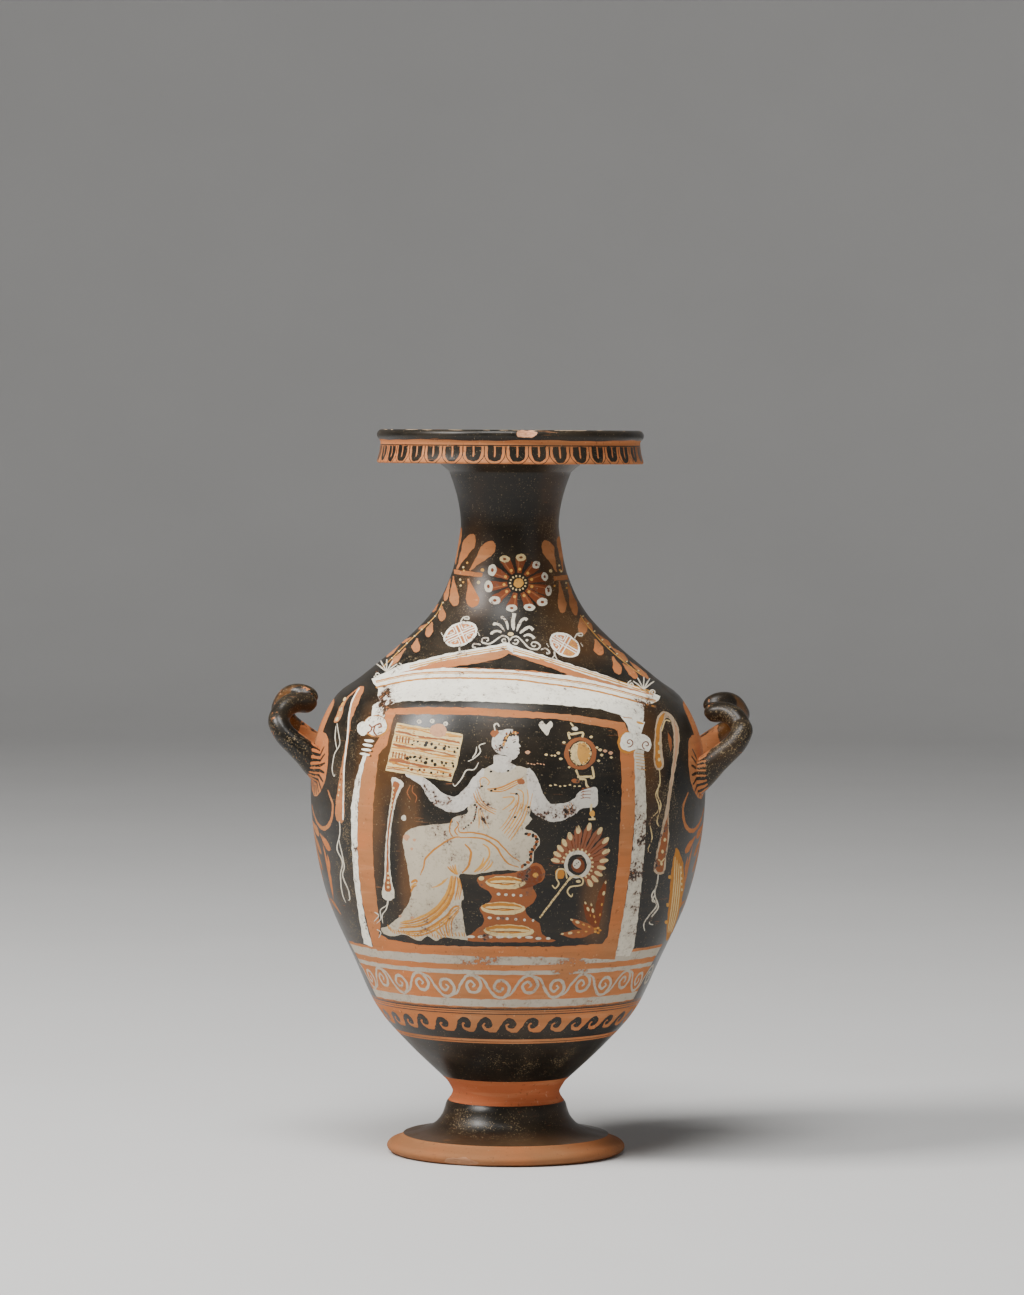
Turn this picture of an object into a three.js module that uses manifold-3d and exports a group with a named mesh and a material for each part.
// A Greek hydria of fired clay: a three-handled water jar with a broad flat mouth, a slim neck,
// a sloping shoulder, a full belly and a hollow trumpet foot. It is one solid, thrown and joined
// before firing: the pot itself, two upturned side handles and one upright handle at the back.
// Millimetres, +Z up. The pot's axis is Z, the foot rests on z = 0 and the painted front faces -Y.

import * as THREE from "three";
import { mergeVertices } from "three/addons/utils/BufferGeometryUtils.js";
import Module from "manifold-3d";

const wasm = await Module();
wasm.setup();

// Driving dimensions.
const height = 460;
const wall = 6;
const turns = 40;
const lip = { radius: 84.6, fascia: 13.3, waist: 82.3, bead: 3.4, underside: 447.5 };
const neck = { radius: 31.2, height: 403 };
const belly = { radius: 125.6, height: 236 };
const stem = { radius: 34.1, height: 39.5, topRadius: 37.8, topHeight: 46.2 };
const foot = { radius: 75.8, edge: 4.6, rest: 71.5, restWidth: 5, dish: 65.4, dishHeight: 11.8 };
const footTop = { radius: 38.2, height: 31.7 };
const floorThickness = 9;

// The side handles: two legs of round section leave the belly, rise outwards, draw together and
// curl back in side by side, joined in one round end. Each is set on by hand, so they differ a
// little in height and tilt.
const sideHandle = { thick: 6.1, legSpread: 31, rootHeight: 243, reach: 149.6, bowHeight: 289.6 };
const leftHandle = { lift: 1, tilt: -6 };
const rightHandle = { lift: -1, tilt: 7.5 };

// The back handle: an oval strap from the neck to the shoulder.
const backHandle = { halfWidth: 10.5, halfDepth: 5.6, reach: 82 };

// Old damage: a chip out of the lip's bead and a flake off the foot's edge, as turns from the front.
const lipChip = { turn: 6.9, halfWidth: 6.8, halfHeight: 4.4, depth: 2.6 };
const footFlake = { turn: -19.5, halfWidth: 12, halfHeight: 3.6, depth: 1.1 };

const degrees = THREE.MathUtils.degToRad;

// A smooth stretch of outline through [radius, height] points, in that many steps.
function smooth(points, steps) {
  const knots = points.map(([r, z]) => new THREE.Vector2(r, z));
  return new THREE.SplineCurve(knots).getSpacedPoints(steps);
}

// A round stretch of outline: an arc from one angle to another, in degrees, about [radius, height].
function arc(centre, radius, from, to, steps) {
  const [r, z] = centre;
  const path = new THREE.Path();
  path.absarc(r, z, radius, degrees(from), degrees(to), to < from);
  return path.getSpacedPoints(steps);
}

// The outline from the shoulder of the foot, up the belly and the neck, to under the mouth.
function bodyOutline(steps) {
  return smooth(
    [
      [stem.topRadius, stem.topHeight],
      [62.8, 70],
      [82.4, 93],
      [97, 123.6],
      [114.1, 162],
      [123, 200],
      [belly.radius, belly.height],
      [122.2, 265],
      [110.2, 290],
      [93.3, 303.4],
      [66.1, 326.3],
      [48.1, 345.5],
      [36.9, 368.4],
      [32, 392],
      [neck.radius, neck.height],
      [33.6, 418],
      [38.6, 433.4],
    ],
    steps,
  );
}

// The foot's outline, from its resting ring up to the waist of the stem.
function footOutline() {
  const edge = smooth(
    [
      [foot.rest, 0],
      [foot.radius - 0.9, 1.9],
      [foot.radius, foot.edge],
      [foot.radius - 2.2, 7.6],
      [69.4, 9],
      [foot.dish, foot.dishHeight],
    ],
    7,
  );
  const trumpet = smooth(
    [
      [foot.dish - 0.6, foot.dishHeight + 0.2],
      [54, 14],
      [46, 17.6],
      [41.2, 23],
      [39.2, 28],
      [footTop.radius, footTop.height],
    ],
    6,
  );
  const waist = smooth(
    [
      [footTop.radius - 1.2, footTop.height + 1.7],
      [35, stem.height - 3.4],
      [stem.radius, stem.height],
      [stem.topRadius - 1.4, stem.topHeight - 2.2],
    ],
    4,
  );
  return [...edge, ...trumpet, ...waist];
}

// Under the mouth, round its hanging fascia and the bead along its top.
function lipOutline() {
  const fasciaFoot = height - 2 * lip.bead - lip.fascia - 1.2;
  const under = smooth(
    [
      [44, 438],
      [52, 443],
      [63, 446.6],
      [74, lip.underside],
      [lip.radius - 5.4, lip.underside - 2],
    ],
    4,
  );
  const fascia = [
    new THREE.Vector2(lip.radius - 4, fasciaFoot + 0.7),
    new THREE.Vector2(lip.radius - 1.2, fasciaFoot),
    new THREE.Vector2(lip.radius, fasciaFoot + 1.2),
    new THREE.Vector2((lip.radius + lip.waist) / 2 - 0.3, fasciaFoot + lip.fascia * 0.5),
    new THREE.Vector2(lip.waist, fasciaFoot + lip.fascia),
  ];
  const beadCentre = [lip.radius - lip.bead + 0.2, height - lip.bead];
  return [...under, ...fascia, ...arc(beadCentre, lip.bead, -60, 120, 6)];
}

// The outside of the pot as a solid, closed across the axis at the foot and at the mouth.
function outside() {
  return lathe([
    new THREE.Vector2(0, 0),
    ...footOutline(),
    ...bodyOutline(19),
    ...lipOutline(),
    new THREE.Vector2(0, height - 1),
  ]);
}

// The empty inside: a bowl, the walls, the throat and the funnel of the mouth, run past the lip.
function inside() {
  const above = 4;
  const walls = bodyOutline(40)
    .map((point, i, all) => {
      const before = all[Math.max(i - 1, 0)];
      const after = all[Math.min(i + 1, all.length - 1)];
      const along = after.clone().sub(before).normalize();
      return new THREE.Vector2(point.x - along.y * wall, point.y + along.x * wall);
    })
    .filter((point, i) => point.y > 78 && point.y < 405 && i % 3 === 0);
  const bottom = stem.topHeight + floorThickness - 2;
  const bowl = smooth([[0, bottom], [22, bottom + 1], [42, bottom + 10], [54, 74]], 5);
  const funnel = smooth(
    [
      [27.4, 415],
      [33, 431],
      [42, 443.6],
      [55, 452],
      [68, 455.6],
      [lip.radius - 2.2 * lip.bead, 457.4],
    ],
    6,
  );
  return lathe([
    ...bowl,
    ...walls,
    ...funnel,
    new THREE.Vector2(lip.radius - lip.bead - 1.4, height + 0.2),
    new THREE.Vector2(lip.radius - lip.bead, height + above),
    new THREE.Vector2(0, height + above),
  ]);
}

// The hollow under the foot, run past the resting ring.
function underFoot() {
  const below = -2;
  const restInside = foot.rest - foot.restWidth;
  return lathe([
    new THREE.Vector2(0, below),
    new THREE.Vector2(restInside, below),
    new THREE.Vector2(restInside, 0.01),
    ...smooth([[restInside - 2, 2.4], [50, 8], [36, 18], [29, 31], [26, 40]], 5),
    new THREE.Vector2(0, stem.topHeight - 2),
  ]);
}

// A closed outline turned about Z, as a solid. Its points run up the outside.
function lathe(outline) {
  const geometry = new THREE.LatheGeometry(outline, turns);
  geometry.rotateX(Math.PI / 2);
  return solid(geometry);
}

// A bar swept along a smooth curve through stations, each with its place and its half sizes along
// "across" and square to it. Each span between stations takes two steps.
function bar(stations, across, sides) {
  const places = stations.map(({ at }) => new THREE.Vector3(...at));
  const curve = new THREE.CatmullRomCurve3(places, false, "catmullrom", 0.5);
  const sizes = new THREE.SplineCurve(stations.map(({ half }) => new THREE.Vector2(...half)));
  const steps = 2 * (stations.length - 1);
  const positions = [];
  for (let i = 0; i <= steps; i++) {
    const centre = curve.getPoint(i / steps);
    const along = curve.getTangent(i / steps);
    const size = sizes.getPoint(i / steps);
    const side = across.clone().addScaledVector(along, -across.dot(along)).normalize();
    const up = along.clone().cross(side);
    for (let k = 0; k < sides; k++) {
      const angle = (2 * Math.PI * k) / sides;
      const point = centre.clone();
      point.addScaledVector(side, size.x * Math.cos(angle));
      point.addScaledVector(up, size.y * Math.sin(angle));
      positions.push(...point.toArray());
    }
  }
  const geometry = new THREE.BufferGeometry();
  geometry.setAttribute("position", new THREE.Float32BufferAttribute(positions, 3));
  geometry.setIndex(barFaces(steps, sides));
  return solid(geometry);
}

// The faces between a swept bar's rings, and the flat caps on its first and last ring.
function barFaces(steps, sides) {
  const faces = [];
  for (let i = 0; i < steps; i++)
    for (let k = 0; k < sides; k++) {
      const a = i * sides + k;
      const b = i * sides + ((k + 1) % sides);
      faces.push(a, b, a + sides, b, b + sides, a + sides);
    }
  const last = steps * sides;
  for (let k = 1; k < sides - 1; k++) faces.push(0, k + 1, k, last, last + k, last + k + 1);
  return faces;
}

// A side handle on +X. Both legs follow the same stations, one on each side of the handle's
// middle, and the tilt turns the handle about the line that runs straight out from the belly.
function sideHandleBars({ lift, tilt }) {
  const { thick, legSpread, rootHeight, reach, bowHeight } = sideHandle;
  const leg = [
    { at: [117, legSpread, rootHeight], half: 1.8 * thick },
    { at: [124, legSpread, rootHeight + 6.5], half: 1.6 * thick },
    { at: [130.5, legSpread, rootHeight + 12], half: 1.4 * thick },
    { at: [137.5, legSpread - 1, rootHeight + 17.5], half: 1.24 * thick },
    { at: [reach - 4.6, legSpread - 3, rootHeight + 23.5], half: 1.13 * thick },
    { at: [reach - 0.6, legSpread - 7, rootHeight + 30.5], half: 1.06 * thick },
    { at: [reach - 0.8, legSpread - 12.5, bowHeight - 9], half: 1.02 * thick },
    { at: [reach - 4.6, legSpread - 18, bowHeight - 2.8], half: thick },
    { at: [reach - 10.4, legSpread - 23, bowHeight + 0.2], half: thick },
    { at: [reach - 17, legSpread - 26.5, bowHeight], half: 0.98 * thick },
    { at: [reach - 21.2, legSpread - 28, bowHeight - 1], half: 0.72 * thick },
    { at: [reach - 22.8, legSpread - 28.4, bowHeight - 1.8], half: 0.3 * thick },
  ];
  const legs = [1, -1].map((side) => {
    const stations = leg.map(({ at: [x, y, z], half }) => {
      return { at: [x, side * y, z - rootHeight], half: [half, half] };
    });
    return bar(stations, new THREE.Vector3(0, 1, 0), 10);
  });
  const handle = legs[0].add(legs[1]);
  return handle.rotate([tilt, 0, 0]).translate([0, 0, rootHeight + lift]);
}

// The back handle on +Y, from inside the neck's wall down to inside the shoulder's wall.
function backHandleBar() {
  const { halfWidth: w, halfDepth: d, reach } = backHandle;
  const stations = [
    { at: [0, neck.radius - 3, 392], half: [1.2 * w, 1.5 * d] },
    { at: [0, neck.radius + 6, 397], half: [1.02 * w, 1.15 * d] },
    { at: [0, reach - 32, 400.5], half: [0.95 * w, d] },
    { at: [0, reach - 14, 396], half: [0.95 * w, d] },
    { at: [0, reach - 3, 381], half: [0.95 * w, d] },
    { at: [0, reach, 358], half: [w, d] },
    { at: [0, reach, 333], half: [1.08 * w, 1.1 * d] },
    { at: [0, reach - 1, 309], half: [1.4 * w, 1.6 * d] },
  ];
  return bar(stations, new THREE.Vector3(1, 0, 0), 12);
}

// A shallow scallop to cut out of the pot, centred on its surface at a turn from the front.
function scallop({ turn, halfWidth, halfHeight, depth }, radius, z) {
  const geometry = new THREE.IcosahedronGeometry(1, 1);
  geometry.scale(halfWidth, depth, halfHeight);
  geometry.translate(0, -radius, z);
  geometry.rotateZ(degrees(turn));
  return solid(geometry);
}

// A geometry's closed surface as a solid that can be joined and cut.
function solid(geometry) {
  const bare = new THREE.BufferGeometry();
  bare.setAttribute("position", geometry.getAttribute("position"));
  if (geometry.index) bare.setIndex(geometry.index);
  const merged = mergeVertices(bare, 1e-3);
  return new wasm.Manifold(
    new wasm.Mesh({
      numProp: 3,
      vertProperties: merged.attributes.position.array,
      triVerts: new Uint32Array(merged.index.array),
    }),
  );
}

// A solid as a geometry with flat faces.
function geometryOf(made) {
  const mesh = made.getMesh();
  const geometry = new THREE.BufferGeometry();
  geometry.setAttribute("position", new THREE.Float32BufferAttribute(mesh.vertProperties, 3));
  geometry.setIndex(new THREE.Uint32BufferAttribute(mesh.triVerts, 1));
  geometry.computeVertexNormals();
  return geometry;
}

const halfTurn = [0, 0, 180];
const vessel = outside()
  .add(sideHandleBars(rightHandle))
  .add(sideHandleBars(leftHandle).rotate(halfTurn))
  .add(backHandleBar())
  .subtract(inside())
  .subtract(underFoot())
  .subtract(scallop(lipChip, lip.radius, height - 2.2))
  .subtract(scallop(footFlake, foot.radius, foot.edge - 0.6));

const firedClay = new THREE.MeshStandardMaterial({
  color: 0x1c1a17,
  roughness: 0.38,
  metalness: 0,
});

const hydria = new THREE.Mesh(geometryOf(vessel), firedClay);
hydria.name = "hydria";

const group = new THREE.Group();
group.add(hydria);

export default group;
